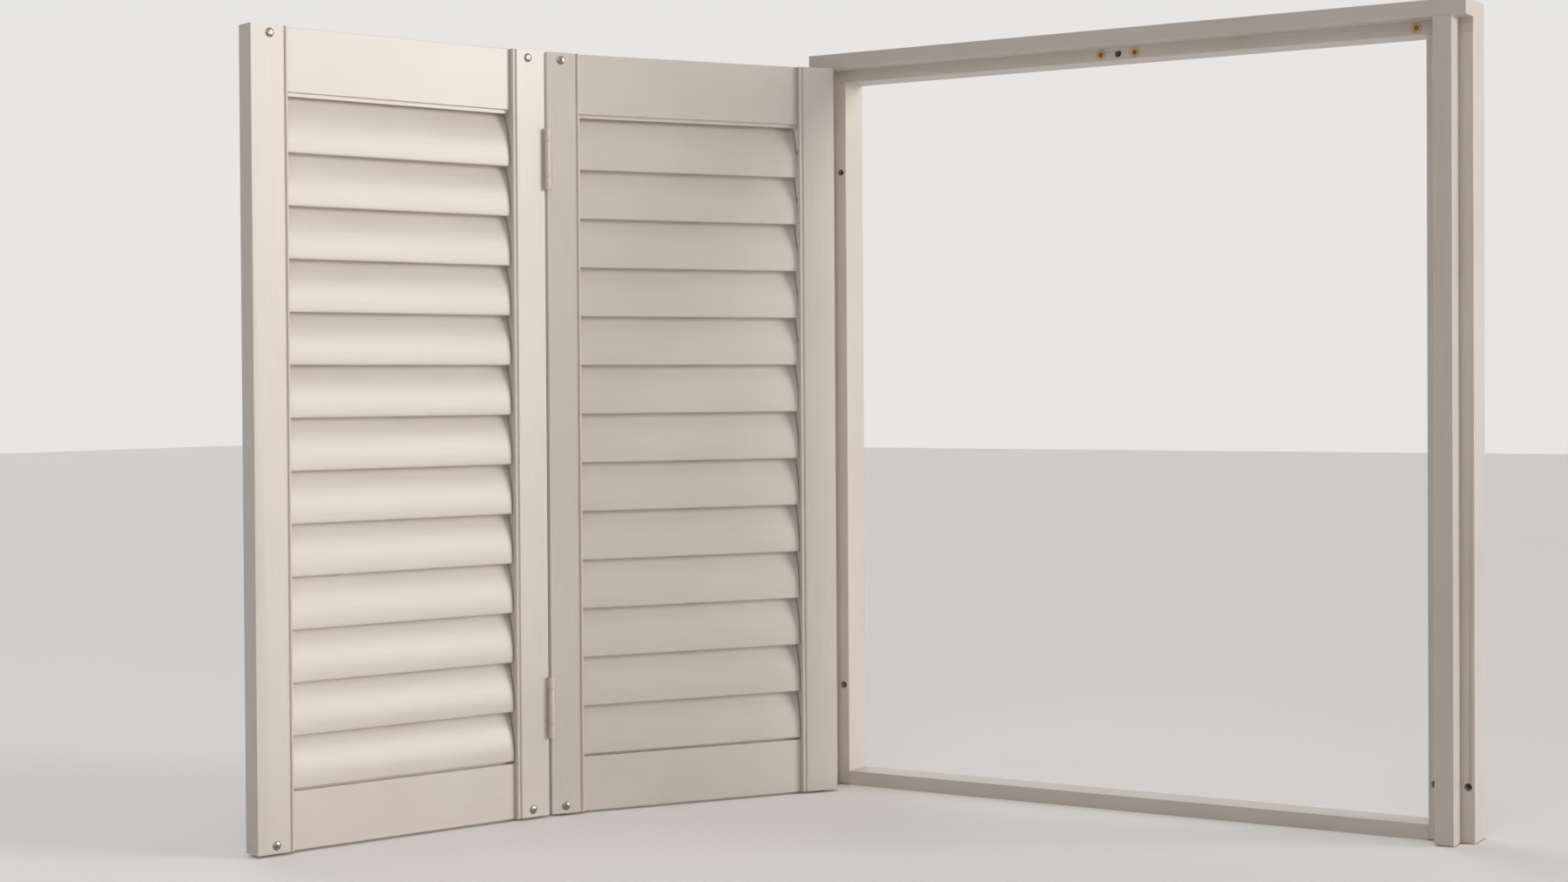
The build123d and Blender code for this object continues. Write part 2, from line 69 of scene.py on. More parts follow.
# %% [markdown]
# The picture was taken from inside the room, a little right of the shutters and at about half
# their height. The lens is a short telephoto, so the upright stiles stay almost parallel. The
# camera is put where the measured corners of the two panels fall on their places in the picture.

# %% Set up the camera
camera_place = Vector((1.1496, -2.6273, 0.5018))
camera_yaw = math.radians(-32.232)
camera_pitch = math.radians(-0.76)
camera_roll = math.radians(-0.365)
picture_width = 1800
focal_pixels = 2762.3
centre_right_pixels = 26.9
centre_down_pixels = 27.6

camera_data = bpy.data.cameras.new("room_camera")
camera_data.sensor_width = 36.0
camera_data.lens = camera_data.sensor_width * focal_pixels / picture_width
camera_data.shift_x = centre_right_pixels / picture_width
camera_data.shift_y = -centre_down_pixels / picture_width
camera_data.clip_end = 100.0
forward = Vector((
    math.sin(camera_yaw) * math.cos(camera_pitch),
    math.cos(camera_yaw) * math.cos(camera_pitch),
    math.sin(camera_pitch),
))
level_right = Vector((math.cos(camera_yaw), -math.sin(camera_yaw), 0))
level_up = level_right.cross(forward)
rolled_right = level_right * math.cos(camera_roll) + level_up * math.sin(camera_roll)
rolled_up = level_up * math.cos(camera_roll) - level_right * math.sin(camera_roll)
camera = bpy.data.objects.new("room_camera", camera_data)
camera.matrix_world = Matrix.Translation(camera_place) @ Matrix((
    rolled_right, rolled_up, -forward,
)).transposed().to_4x4()
bpy.context.scene.collection.objects.link(camera)
bpy.context.scene.camera = camera
print("lens", round(camera_data.lens, 1), "mm")

# %% [markdown]
# A material is a small graph of nodes. This helper adds one node, sets its options, and gives each
# input either a value or a link from another node, so that a graph reads from top to bottom.

# %% A helper for node graphs


def add_node(tree, kind, inputs=None, **options):
    """Add a node to a tree. Inputs are named or numbered, and take a value or another socket."""
    made = tree.nodes.new(kind)
    for option, value in options.items():
        setattr(made, option, value)
    for key, value in (inputs or {}).items():
        if isinstance(value, bpy.types.NodeSocket):
            tree.links.new(value, made.inputs[key])
        else:
            made.inputs[key].default_value = value
    return made


# %% [markdown]
# Most finishes here start in the same way. Noise is read at the piece's own coordinates, so that a
# pattern stays on the piece when it moves. The middle of the noise is then spread over a small
# range of colours or of gloss, because a real finish is never the same all over.

# %% Helpers for finishes
noise_low = 0.3
noise_high = 0.7


def new_finish(name):
    """A material with an empty graph. Returns it, its graph and the coordinates on the piece."""
    finish = bpy.data.materials.new(name)
    finish.use_nodes = True
    finish.node_tree.nodes.clear()
    place = add_node(finish.node_tree, "ShaderNodeTexCoord").outputs["Object"]
    return finish, finish.node_tree, place


def noise(tree, place, scale, detail, roughness=0.5):
    """Fractal noise at a place."""
    settings = {"Vector": place, "Scale": scale, "Detail": detail, "Roughness": roughness}
    return add_node(tree, "ShaderNodeTexNoise", settings).outputs["Fac"]


def spread(tree, value, low=0.0, high=1.0):
    """The middle of a noise, spread from a low value to a high one."""
    return add_node(
        tree, "ShaderNodeMapRange",
        {"Value": value, "From Min": noise_low, "From Max": noise_high, "To Min": low, "To Max": high},
    ).outputs[0]


def mixed(tree, factor, first, second, how="MIX"):
    """Two colours mixed. A Mix node keeps its colour inputs at numbers 6 and 7."""
    inputs = {"Factor": factor, 6: first, 7: second}
    return add_node(tree, "ShaderNodeMix", inputs, data_type="RGBA", blend_type=how).outputs[2]


def relief(tree, height, strength, distance, over=None):
    """Fine relief on a surface, with another relief under it or not."""
    inputs = {"Height": height, "Strength": strength, "Distance": distance}
    if over:
        inputs["Normal"] = over
    return add_node(tree, "ShaderNodeBump", inputs).outputs[0]


def end_finish(tree, shading):
    """End a material's graph with its shader."""
    shader = add_node(tree, "ShaderNodeBsdfPrincipled", shading)
    add_node(tree, "ShaderNodeOutputMaterial", {"Surface": shader.outputs[0]})


print("the noise between", noise_low, "and", noise_high, "is spread over each range")

# %% [markdown]
# The timber has a sprayed satin paint, a warm off-white. Such paint is almost even, but never
# flat: it has a fine orange peel, the grain of the wood shows through as faint lines, and its
# gloss changes a little from place to place. The grain runs along each piece, so each direction
# of timber gets its own copy of the paint, turned to lie along it.

# %% Mix the paint
paint_tone = (0.665, 0.607, 0.557, 1)
paint_shade = (0.615, 0.556, 0.505, 1)
grain_stretch = 30
grain_depth = 0.06 * mm
peel_depth = 0.05 * mm
relief_strength = 0.35


def satin_paint(name, along):
    """Satin paint over timber whose grain runs along a direction."""
    paint, tree, place = new_finish(name)
    turn = Vector(along).to_track_quat("X", "Z").to_euler()
    lengthwise = add_node(
        tree, "ShaderNodeMapping", {"Vector": place, "Rotation": turn, "Scale": (grain_stretch, 1, 1)},
        vector_type="TEXTURE",
    )
    grain = noise(tree, lengthwise.outputs[0], scale=420.0, detail=3.0, roughness=0.55)
    peel = noise(tree, place, scale=650.0, detail=2.0, roughness=0.4)
    clouds = noise(tree, place, scale=5.0, detail=3.0, roughness=0.6)
    colour = mixed(tree, spread(tree, clouds), paint_shade, paint_tone)
    painted = mixed(tree, 1.0, colour, spread(tree, grain, low=0.975, high=1.015), how="MULTIPLY")
    gloss = spread(tree, clouds, low=0.31, high=0.39)
    grain_relief = relief(tree, grain, relief_strength, grain_depth)
    normal = relief(tree, peel, relief_strength, peel_depth, over=grain_relief)
    end_finish(tree, {"Base Color": painted, "Roughness": gloss, "Normal": normal, "IOR": 1.48})
    return paint


def across_panel(panel_name):
    """The direction across a panel, from its hinged edge to its far one."""
    return -Vector(joints[f"{panel_name}_louvre_07_tilt"]["axis"])


upright_paint = satin_paint("satin_paint_upright", up)
frame_paint = satin_paint("satin_paint_frame_lengths", (1, 0, 0))
cross_paint = {
    panel_name: satin_paint(f"satin_paint_{panel_name}_cross", across_panel(panel_name))
    for panel_name in ("inner", "outer")
}
for paint in (upright_paint, frame_paint, *cross_paint.values()):
    print(paint.name, "takes", len(paint.node_tree.nodes), "nodes")

# %% [markdown]
# The small fittings are steel, painted steel and plastic. Steel gets its look from a high metallic
# value, and from gloss that changes a little from spot to spot. The plain steel's colour is also
# kept darker than bare steel. This is painted shade: it stands in for the shade in its recesses and
# for the dark surroundings that it would reflect. The plastic of the catches is a dull beige,
# mottled with age. All five differ only in their numbers, so one helper mixes them.

# %% Mix the metals and plastics
mottle_depth = 0.02 * mm
mottle_strength = 0.4
gloss_drift = 0.06


def fitting_finish(name, tone, shade, roughness, metallic=0.0, speckle=900.0):
    """A metal or plastic with fine mottling in its colour, gloss and surface."""
    finish, tree, place = new_finish(name)
    mottle = noise(tree, place, speckle, detail=3.0)
    end_finish(tree, {
        "Base Color": mixed(tree, spread(tree, mottle), shade, tone),
        "Roughness": spread(tree, mottle, roughness - gloss_drift, roughness + gloss_drift),
        "Metallic": metallic,
        "Normal": relief(tree, mottle, mottle_strength, mottle_depth),
    })
    return finish


hinge_paint = fitting_finish(
    "painted_hinge_steel", tone=(0.66, 0.59, 0.53, 1), shade=(0.60, 0.53, 0.47, 1),
    roughness=0.36, speckle=500.0,
)
# Painted shade: this steel's colour is darker than bare steel, for recess shade and dark reflections.
bright_steel = fitting_finish(
    "polished_steel_with_painted_shade", tone=(0.34, 0.32, 0.30, 1), shade=(0.24, 0.22, 0.20, 1),
    roughness=0.26, metallic=1.0,
)
bronzed_steel = fitting_finish(
    "bronzed_steel", tone=(0.30, 0.19, 0.10, 1), shade=(0.20, 0.12, 0.06, 1),
    roughness=0.42, metallic=0.8,
)
catch_plastic = fitting_finish(
    "beige_catch_plastic", tone=(0.72, 0.50, 0.29, 1), shade=(0.60, 0.40, 0.22, 1),
    roughness=0.5, speckle=400.0,
)
plug_plastic = fitting_finish(
    "pale_plug_plastic", tone=(0.78, 0.75, 0.71, 1), shade=(0.71, 0.68, 0.63, 1),
    roughness=0.42, speckle=400.0,
)
for finish in (hinge_paint, bright_steel, bronzed_steel, catch_plastic, plug_plastic):
    print(finish.name, "takes", len(finish.node_tree.nodes), "nodes")

# %% [markdown]
# Every finished piece needs the same few things: a mesh in the right place, a body to ride on,
# and the measured piece that it stands for. Faces within a small angle of each other are shaded as
# one smooth surface, and sharper meetings stay crisp. The fewer facets a round piece has, the
# larger that angle is.

# %% A helper that finishes a piece
timber_smooth = math.radians(21)
turned_smooth = math.radians(30)
leaf_smooth = math.radians(40)
pin_smooth = math.radians(50)
wire_smooth = math.radians(60)


def body_of_node(node):
    """The body that a measured piece belongs to."""
    return frame["nodes"][node]["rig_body"]


def finish_piece(name, mesh, node, slot, *materials, shade_limit=timber_smooth):
    """Show a mesh as the finished piece that stands for a measured one."""
    mesh.name = name
    if materials:
        mesh.materials.clear()
        for material in materials:
            mesh.materials.append(material)
    mesh.polygons.foreach_set("use_smooth", [True] * len(mesh.polygons))
    mesh.set_sharp_from_angle(angle=shade_limit)
    piece = bpy.data.objects.new(name, mesh)
    bpy.context.scene.collection.objects.link(piece)
    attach(piece, body_of_node(node))
    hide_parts(node)
    return piece


# %% [markdown]
# On the real shutters every long edge is sanded before painting, so each one catches a thin line
# of light. The measured pieces are sharp. A copy of each is merged into whole faces, and its long
# outer edges are bevelled. The bead along each stile already has its own round shape.

# %% Soften the timber
arris = 0.7 * mm
shortest_softened = 9 * mm
sharp_corner = math.radians(50)
flat_limit = math.radians(0.5)
merge_distance = 0.001 * mm


def softened(node, width):
    """A copy of a measured piece with its long outer edges rounded."""
    copy = bmesh.new()
    copy.from_mesh(frame["nodes"][node].data)
    bmesh.ops.remove_doubles(copy, verts=copy.verts, dist=merge_distance)
    bmesh.ops.dissolve_limit(copy, angle_limit=flat_limit, verts=copy.verts, edges=copy.edges)
    edges = [
        edge for edge in copy.edges
        if edge.is_convex and edge.is_manifold
        and edge.calc_length() > shortest_softened
        and edge.calc_face_angle() > sharp_corner
    ]
    bmesh.ops.bevel(
        copy, geom=edges, offset=width, offset_type="OFFSET", segments=2, profile=0.5,
        affect="EDGES", clamp_overlap=True,
    )
    mesh = bpy.data.meshes.new(node)
    copy.to_mesh(mesh)
    copy.free()
    return mesh


timber = {
    "inner_hinge_stile": ("panel_paint", upright_paint),
    "inner_fold_stile": ("panel_paint", upright_paint),
    "outer_fold_stile": ("panel_paint", upright_paint),
    "outer_free_stile": ("panel_paint", upright_paint),
    "inner_top_rail": ("panel_paint", cross_paint["inner"]),
    "inner_bottom_rail": ("panel_paint", cross_paint["inner"]),
    "outer_top_rail": ("panel_paint", cross_paint["outer"]),
    "outer_bottom_rail": ("panel_paint", cross_paint["outer"]),
    "inner_tilt_rod": ("panel_paint", upright_paint),
    "outer_tilt_rod": ("panel_paint", upright_paint),
    "left_jamb": ("frame_paint", upright_paint),
    "t_post": ("frame_paint", upright_paint),
    "head": ("frame_paint", frame_paint),
    "bottom_stop": ("frame_paint", frame_paint),
}
for node, (slot, paint) in timber.items():
    piece = finish_piece(f"{node}_timber", softened(node, arris), node, slot, paint)
    print(piece.name, len(piece.data.polygons), "faces")

# %% [markdown]
# Each rail has a thin lip that closes the slit between it and the nearest louvre. The top rail's
# hangs on the window side of the first louvre, and the bottom rail's stands on the room side of
# the last one, so that the louvres shut against both. A plain box is enough for so thin a strip,
# and it joins the rail's own mesh.

# %% Add the lips to the rails
lip_height = 4.2 * mm
lip_thickness = 4.5 * mm
lip_from_middle = 0.25 * mm
lip_end_gap = 0.3 * mm
louvre_opening = 288 * mm
rail_edge_heights = {"top": 820 * mm, "bottom": 66.5 * mm}


def add_lip(piece, panel_name, level):
    """Join a lip to a rail: it hangs from the top rail and stands on the bottom one."""
    along = across_panel(panel_name)
    out_of_back = up.cross(along)
    side = 1 if level == "top" else -1
    centre = Vector(joints[f"{panel_name}_louvre_07_tilt"]["pos_m"])
    centre.z = rail_edge_heights[level] - side * lip_height / 2
    centre += out_of_back * side * (lip_from_middle + lip_thickness / 2)
    turn = Matrix((along, out_of_back, up)).transposed().to_4x4()
    scale = Matrix.Diagonal((louvre_opening - 2 * lip_end_gap, lip_thickness, lip_height, 1))
    whole = bmesh.new()
    whole.from_mesh(piece.data)
    bmesh.ops.create_cube(whole, size=1, matrix=Matrix.Translation(centre) @ turn @ scale)
    whole.to_mesh(piece.data)
    whole.free()


for panel_name in ("inner", "outer"):
    for level in rail_edge_heights:
        add_lip(bpy.data.objects[f"{panel_name}_{level}_rail_timber"], panel_name, level)
print("lips", round(1000 * lip_height, 1), "mm high")

# %% [markdown]
# Geometry Nodes build what follows a rule: the louvres, the bent wires, the hinges and whatever is
# set out many times. A tree is made once, with named inputs for its sizes. It ends by making its
# copies real and giving them their material, because the export keeps nothing else.

# %% Helpers for Geometry Nodes


def new_tree(name, *inputs):
    """A Geometry Nodes tree with named inputs. Returns the tree, its input and its output."""
    tree = bpy.data.node_groups.new(name, "GeometryNodeTree")
    tree.interface.new_socket("Geometry", in_out="INPUT", socket_type="NodeSocketGeometry")
    for socket_name, socket_type in inputs:
        tree.interface.new_socket(socket_name, in_out="INPUT", socket_type=f"NodeSocket{socket_type}")
    tree.interface.new_socket("Geometry", in_out="OUTPUT", socket_type="NodeSocketGeometry")
    return tree, add_node(tree, "NodeGroupInput").outputs, add_node(tree, "NodeGroupOutput").inputs


def end_tree(tree, result, geometry, finish):
    """End a tree as the export needs it: real geometry with its material."""
    real = add_node(tree, "GeometryNodeRealizeInstances", {"Geometry": geometry})
    painted = add_node(
        tree, "GeometryNodeSetMaterial", {"Geometry": real.outputs[0], "Material": finish}
    )
    tree.links.new(painted.outputs[0], result["Geometry"])


def reckon(tree, operation, first, second=0.0):
    """One step of arithmetic inside a tree."""
    return add_node(tree, "ShaderNodeMath", {0: first, 1: second}, operation=operation).outputs[0]


# %% [markdown]
# A tree makes nothing until an object carries it. So each piece puts the tree on a host, sets its
# inputs by their identifiers, and takes the result as a plain mesh. The host is then removed. A
# swept or mirrored shape can come out inside out, so its faces are turned outwards afterwards.

# %% Take a mesh from a tree


def made_by(tree, host_data, matrix=None, **sizes):
    """The plain mesh that a tree makes on a host mesh or curve, put in its place."""
    host = bpy.data.objects.new("host", host_data)
    bpy.context.scene.collection.objects.link(host)
    modifier = host.modifiers.new(tree.name, "NODES")
    modifier.node_group = tree
    for socket in tree.interface.items_tree:
        if socket.in_out == "INPUT" and socket.name in sizes:
            modifier[socket.identifier] = sizes[socket.name]
    evaluated = host.evaluated_get(bpy.context.evaluated_depsgraph_get())
    mesh = bpy.data.meshes.new_from_object(evaluated)
    host.modifiers.remove(modifier)
    bpy.data.objects.remove(host)
    if matrix:
        mesh.transform(matrix)
    return mesh


def outward(mesh):
    """Turn every face of a mesh outwards."""
    shell = bmesh.new()
    shell.from_mesh(mesh)
    bmesh.ops.recalc_face_normals(shell, faces=shell.faces)
    shell.to_mesh(mesh)
    shell.free()
    return mesh


# %% [markdown]
# A louvre is a thin oval blade: two shallow curves that meet in small rounded edges. It could be
# lofted or drawn, but its section follows a rule, so the tree bends a circle into it. For a point
# of the circle, X and Y are its cosine and its sine. The blade's half thickness is its edge
# height plus a rise that grows with the square of the sine, and the edge height itself is rounded
# off within a short distance of the tip.

# %% Draw the louvre's section
blade_tree, size, blade_result = new_tree(
    "louvre_blade",
    ("Length", "Float"), ("Width", "Float"), ("Thickness", "Float"), ("Edge Height", "Float"),
    ("Peg Radius", "Float"), ("Peg Length", "Float"), ("Paint", "Material"),
)
half_width = reckon(blade_tree, "MULTIPLY", size["Width"], 0.5)
half_edge = reckon(blade_tree, "MULTIPLY", size["Edge Height"], 0.5)
half_thickness = reckon(blade_tree, "MULTIPLY", size["Thickness"], 0.5)
circle = add_node(blade_tree, "GeometryNodeCurvePrimitiveCircle", {"Resolution": 56, "Radius": 1.0})
on_circle = add_node(blade_tree, "GeometryNodeInputPosition")
split = add_node(blade_tree, "ShaderNodeSeparateXYZ", {0: on_circle.outputs[0]})
cosine, sine = split.outputs[0], split.outputs[1]
from_tip = reckon(
    blade_tree, "MULTIPLY", half_width,
    reckon(blade_tree, "SUBTRACT", 1.0, reckon(blade_tree, "ABSOLUTE", cosine)),
)
into_round = reckon(blade_tree, "MINIMUM", reckon(blade_tree, "DIVIDE", from_tip, half_edge), 1.0)
tip_round = reckon(
    blade_tree, "SQRT",
    reckon(blade_tree, "MULTIPLY", into_round, reckon(blade_tree, "SUBTRACT", 2.0, into_round)),
)
rise = reckon(
    blade_tree, "MULTIPLY", reckon(blade_tree, "SUBTRACT", half_thickness, half_edge),
    reckon(blade_tree, "MULTIPLY", sine, sine),
)
half_height = reckon(blade_tree, "ADD", rise, reckon(blade_tree, "MULTIPLY", half_edge, tip_round))
section_point = add_node(
    blade_tree, "ShaderNodeCombineXYZ",
    {
        0: reckon(blade_tree, "MULTIPLY", half_width, cosine),
        1: reckon(blade_tree, "MULTIPLY", half_height, reckon(blade_tree, "SIGN", sine)),
    },
)
section = add_node(
    blade_tree, "GeometryNodeSetPosition",
    {"Geometry": circle.outputs[0], "Position": section_point.outputs[0]},
)
print("the louvre's section takes", len(blade_tree.nodes), "nodes")

# %% [markdown]
# The section is swept along a straight line as long as the blade. A peg on each end, which turns in
# the stile, is a small cylinder, moved out by half its length.

# %% Sweep the section and add the pegs
half_length = reckon(blade_tree, "MULTIPLY", size["Length"], 0.5)
line_start = add_node(
    blade_tree, "ShaderNodeCombineXYZ", {2: reckon(blade_tree, "MULTIPLY", half_length, -1.0)}
)
line_end = add_node(blade_tree, "ShaderNodeCombineXYZ", {2: half_length})
line = add_node(
    blade_tree, "GeometryNodeCurvePrimitiveLine",
    {"Start": line_start.outputs[0], "End": line_end.outputs[0]},
)
blade = add_node(
    blade_tree, "GeometryNodeCurveToMesh",
    {"Curve": line.outputs[0], "Profile Curve": section.outputs[0], "Fill Caps": True},
)
peg = add_node(
    blade_tree, "GeometryNodeMeshCylinder",
    {"Vertices": 20, "Radius": size["Peg Radius"], "Depth": size["Peg Length"]},
)
peg_centre = reckon(
    blade_tree, "ADD", half_length, reckon(blade_tree, "MULTIPLY", size["Peg Length"], 0.5)
)
parts_of_blade = add_node(blade_tree, "GeometryNodeJoinGeometry", {0: blade.outputs[0]})
for end in (1.0, -1.0):
    shift = add_node(
        blade_tree, "ShaderNodeCombineXYZ", {2: reckon(blade_tree, "MULTIPLY", peg_centre, end)}
    )
    moved_peg = add_node(
        blade_tree, "GeometryNodeTransform",
        {"Geometry": peg.outputs[0], "Translation": shift.outputs[0]},
    )
    blade_tree.links.new(moved_peg.outputs[0], parts_of_blade.inputs[0])
end_tree(blade_tree, blade_result, parts_of_blade.outputs[0], size["Paint"])
print("louvre tree has", len(blade_tree.nodes), "nodes")

# %% [markdown]
# Each panel has thirteen louvres. They tilt together, and each turns on its own pegs, so each is
# a body and a mesh of its own. The joint of each louvre gives the middle of its blade, and the
# direction of its pegs.

# %% Sweep the louvres
louvre_count = 13
louvre_tilt = math.radians(78)
louvre_sizes = {
    "Length": 285 * mm, "Width": 63.5 * mm, "Thickness": 11 * mm, "Edge Height": 2.4 * mm,
    "Peg Radius": 3 * mm, "Peg Length": 11.5 * mm,
}


def louvre_matrix(louvre):
    """A louvre's place: its X runs to the upper edge on the room side, and its Z along the blade."""
    joint = joints[f"{louvre}_tilt"]
    along = -Vector(joint["axis"])
    out_of_back = up.cross(along)
    to_edge = up * math.sin(louvre_tilt) - out_of_back * math.cos(louvre_tilt)
    return Matrix.Translation(joint["pos_m"]) @ Matrix((
        to_edge, along.cross(to_edge), along,
    )).transposed().to_4x4()


louvre_names = [
    f"{panel_name}_louvre_{number:02}"
    for panel_name in ("inner", "outer")
    for number in range(1, louvre_count + 1)
]
blank = bpy.data.meshes.new("blank")
for louvre in louvre_names:
    paint = cross_paint[louvre.split("_")[0]]
    mesh = outward(made_by(blade_tree, blank, louvre_matrix(louvre), Paint=paint, **louvre_sizes))
    finish_piece(f"{louvre}_blade", mesh, louvre, "louvre_paint")
print(len(louvre_names), "louvres, each with", len(mesh.polygons), "faces")

# %% [markdown]
# Small wire staples link the louvres to the tilt rod. One is driven into the edge of each louvre,
# and one into the rod at each louvre, and each pair is hooked together. A staple is a bent wire:
# a line with its corners rounded off, and a circle swept along it.

# %% Build the wire tree
wire_tree, size, wire_result = new_tree(
    "bent_wire", ("Wire Radius", "Float"), ("Bend Radius", "Float"), ("Steel", "Material")
)
bend = add_node(
    wire_tree, "GeometryNodeFilletCurve",
    {"Curve": size["Geometry"], "Count": 5, "Radius": size["Bend Radius"], "Limit Radius": True},
    mode="POLY",
)
wire_section = add_node(
    wire_tree, "GeometryNodeCurvePrimitiveCircle", {"Resolution": 10, "Radius": size["Wire Radius"]}
)
wire = add_node(
    wire_tree, "GeometryNodeCurveToMesh",
    {"Curve": bend.outputs[0], "Profile Curve": wire_section.outputs[0], "Fill Caps": True},
)
end_tree(wire_tree, wire_result, wire.outputs[0], size["Steel"])


def bent_wire(points, wire_radius, matrix=None):
    """A wire bent along a few points, as a mesh."""
    path = bpy.data.curves.new("wire_path", "CURVE")
    path.dimensions = "3D"
    spline = path.splines.new("POLY")
    spline.points.add(len(points) - 1)
    for point, corner in zip(spline.points, points):
        point.co = (*corner, 1)
    sizes = {"Wire Radius": wire_radius, "Bend Radius": 2 * wire_radius, "Steel": bright_steel}
    return outward(made_by(wire_tree, path, matrix, **sizes))


print("wire tree has", len(wire_tree.nodes), "nodes")

# %% [markdown]
# What repeats on one body is set out by one tree: it puts a copy of a piece at each point of a
# host mesh. Each point carries the direction that the copy faces. Screws are never all driven to
# the same turn, so the tree also rolls each copy by a random amount, from a fixed seed.

# %% Build the setting-out tree
set_out_tree, size, set_out_result = new_tree(
    "set_out", ("Piece", "Object"), ("Most Roll", "Float"), ("Seed", "Int"), ("Finish", "Material")
)
facing = add_node(
    set_out_tree, "GeometryNodeInputNamedAttribute", {"Name": "facing"}, data_type="FLOAT_VECTOR"
)
turned = add_node(
    set_out_tree, "FunctionNodeAlignRotationToVector", {"Vector": facing.outputs[0]}, axis="Z"
)
roll = add_node(
    set_out_tree, "FunctionNodeRandomValue", {"Seed": size["Seed"]}, data_type="FLOAT"
)
set_out_tree.links.new(size["Most Roll"], roll.inputs[3])
spin = add_node(
    set_out_tree, "FunctionNodeAxisAngleToRotation", {"Axis": up, "Angle": roll.outputs[1]}
)
rolled = add_node(
    set_out_tree, "FunctionNodeRotateRotation",
    {"Rotation": turned.outputs[0], "Rotate By": spin.outputs[0]}, rotation_space="LOCAL",
)
pattern = add_node(
    set_out_tree, "GeometryNodeObjectInfo", {"Object": size["Piece"]}, transform_space="ORIGINAL"
)
copies = add_node(
    set_out_tree, "GeometryNodeInstanceOnPoints",
    {
        "Points": size["Geometry"], "Instance": pattern.outputs["Geometry"],
        "Rotation": rolled.outputs[0],
    },
)
end_tree(set_out_tree, set_out_result, copies.outputs[0], size["Finish"])
print("setting-out tree has", len(set_out_tree.nodes), "nodes")

# %% [markdown]
# The host of this tree is a mesh of loose points. The direction of each point is kept in an
# attribute, which the tree reads by its name.

# %% A helper that sets pieces out


def set_out(pattern_mesh, places, finish, seed=0, most_roll=0.0):
    """Copies of a mesh at a list of (point, facing direction), as one mesh."""
    host_mesh = bpy.data.meshes.new("places")
    host_mesh.from_pydata([point for point, _ in places], [], [])
    directions = host_mesh.attributes.new("facing", "FLOAT_VECTOR", "POINT")
    for value, (_, direction) in zip(directions.data, places):
        value.vector = direction
    pattern_object = bpy.data.objects.new("pattern", pattern_mesh)
    bpy.context.scene.collection.objects.link(pattern_object)
    sizes = {"Piece": pattern_object, "Most Roll": most_roll, "Seed": seed, "Finish": finish}
    mesh = made_by(set_out_tree, host_mesh, **sizes)
    bpy.data.objects.remove(pattern_object)
    return mesh


# %% [markdown]
# Every louvre moves by itself, so its staple is a piece of its own. The rod's thirteen staples move
# together, so they are set out as one mesh. Both kinds are drawn as the four corners of a U.

# %% Bend and set out the staples
crossbar_radius = 35.05 * mm
wire_radius = 0.5 * mm
staple_half_width = 3.6 * mm
staple_start = 29.75 * mm
rod_gap = 3 * mm
rod_loop_half_height = 1.5 * mm
rod_loop_past_crossbar = 1.5 * mm
rod_loop_embed = 1 * mm

for louvre in louvre_names:
    corners = [
        (staple_start, 0, -staple_half_width),
        (crossbar_radius, 0, -staple_half_width),
        (crossbar_radius, 0, staple_half_width),
        (staple_start, 0, staple_half_width),
    ]
    mesh = bent_wire(corners, wire_radius, louvre_matrix(louvre))
    finish_piece(f"{louvre}_staple", mesh, louvre, "bright_steel", shade_limit=wire_smooth)

for panel_name in ("inner", "outer"):
    out_of_back = up.cross(across_panel(panel_name))
    upright = Matrix((across_panel(panel_name), up, -out_of_back)).transposed().to_4x4()
    loop = bent_wire(
        [
            (0, -rod_loop_half_height, rod_gap + rod_loop_embed),
            (0, -rod_loop_half_height, -rod_loop_past_crossbar),
            (0, rod_loop_half_height, -rod_loop_past_crossbar),
            (0, rod_loop_half_height, rod_gap + rod_loop_embed),
        ],
        wire_radius,
        upright,
    )
    crossbars = [
        (louvre_matrix(louvre) @ Vector((crossbar_radius, 0, 0)), up)
        for louvre in louvre_names
        if louvre.startswith(panel_name)
    ]
    mesh = set_out(loop, crossbars, bright_steel)
    node = f"{panel_name}_rod_staples"
    finish_piece(f"{node}_wire", mesh, node, "bright_steel", shade_limit=wire_smooth)
    print(node, len(crossbars), "staples")

# %% [markdown]
# Four butt hinges carry the shutters: two on the jamb, and two where the panels fold. Each leaf is
# a plate let in between two edges, and its knuckles wrap the pin by turns with the other leaf's.
# A knuckle is a ring: its section, a rectangle with rounded corners, is swept round a circle. A
# short strip joins it to the plate.

# %% Build the knuckle tree
knuckle_tree, size, knuckle_result = new_tree(
    "hinge_knuckle", ("Radius", "Float"), ("Bore", "Float"), ("Length", "Float"),
    ("Edge Round", "Float"), ("Strip Thickness", "Float"), ("Strip Reach", "Float"),
    ("Strip Middle", "Float"), ("Finish", "Material"),
)
wall = reckon(knuckle_tree, "SUBTRACT", size["Radius"], size["Bore"])
wall_middle = reckon(
    knuckle_tree, "SUBTRACT", size["Radius"], reckon(knuckle_tree, "MULTIPLY", wall, 0.5)
)
around = add_node(
    knuckle_tree, "GeometryNodeCurvePrimitiveCircle", {"Resolution": 40, "Radius": wall_middle}
)
wall_section = add_node(
    knuckle_tree, "GeometryNodeCurvePrimitiveQuadrilateral", {"Width": wall, "Height": size["Length"]}
)
rounded_wall = add_node(
    knuckle_tree, "GeometryNodeFilletCurve",
    {"Curve": wall_section.outputs[0], "Count": 3, "Radius": size["Edge Round"], "Limit Radius": True},
    mode="POLY",
)
ring = add_node(
    knuckle_tree, "GeometryNodeCurveToMesh",
    {"Curve": around.outputs[0], "Profile Curve": rounded_wall.outputs[0]},
)
strip_size = add_node(
    knuckle_tree, "ShaderNodeCombineXYZ",
    {0: size["Strip Thickness"], 1: size["Strip Reach"], 2: size["Length"]},
)
strip = add_node(knuckle_tree, "GeometryNodeMeshCube", {"Size": strip_size.outputs[0]})
